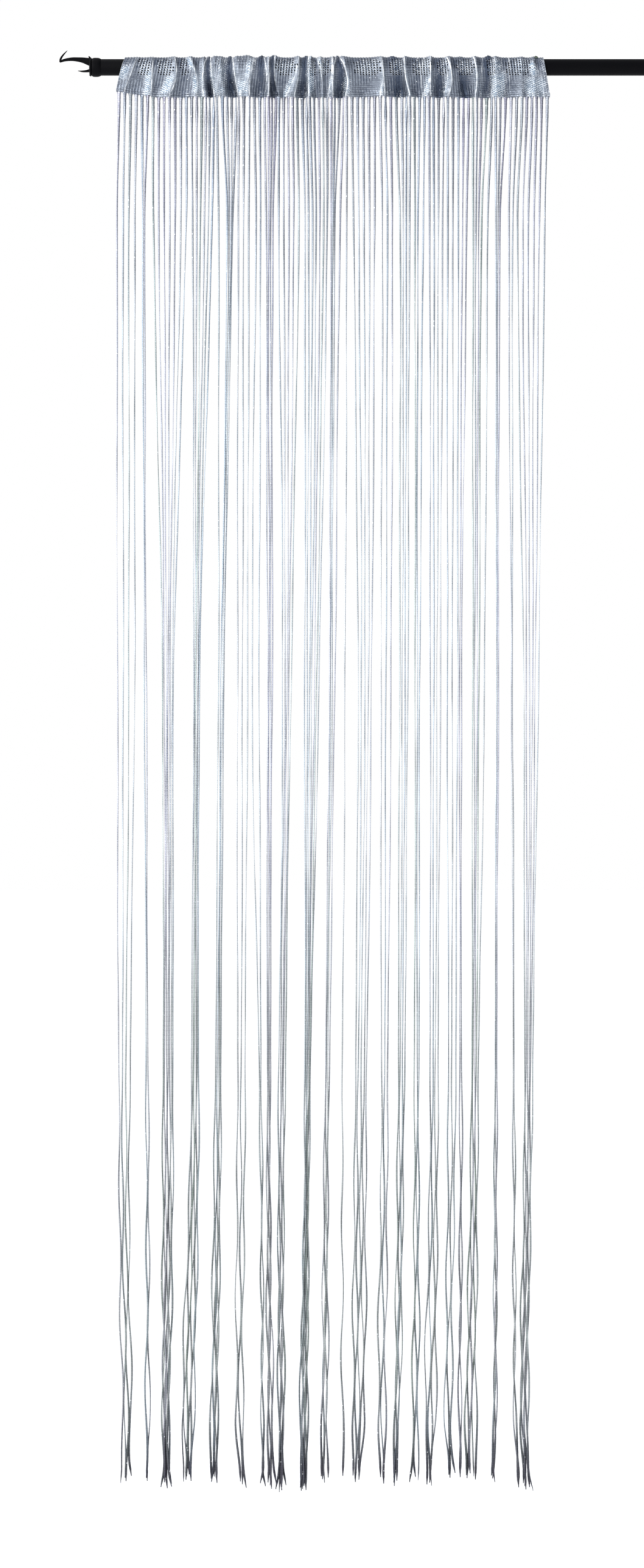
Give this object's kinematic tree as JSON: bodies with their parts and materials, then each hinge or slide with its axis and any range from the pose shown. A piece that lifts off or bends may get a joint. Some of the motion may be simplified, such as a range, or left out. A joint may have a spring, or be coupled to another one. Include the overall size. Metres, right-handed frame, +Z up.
{
  "type": "string curtain on a curtain rod",
  "caption": "Silver lurex string curtain whose knitted heading is gathered on a black curtain rod; its loose strings hang in uneven bundles.",
  "frame": {"origin": "on the rod's axis, at the middle of the curtain's gathered width", "axes": "+X along the rod to the right as seen from the front, +Y away from the viewer to the back, +Z up"},
  "size_m": [1.0252, 0.0477, 2.4515],
  "materials": {
    "rod": "black powder coat, satin",
    "finial": "black powder coat, satin",
    "heading": "warp-knitted silver lurex, glittering",
    "strings": "chain-stitched silver lurex yarn, glittering"
  },
  "bodies": {
    "root": {"rod": "rod", "finial_collar": "finial", "finial": "finial", "heading": "heading", "strings": "strings"}
  },
  "joints": []
}
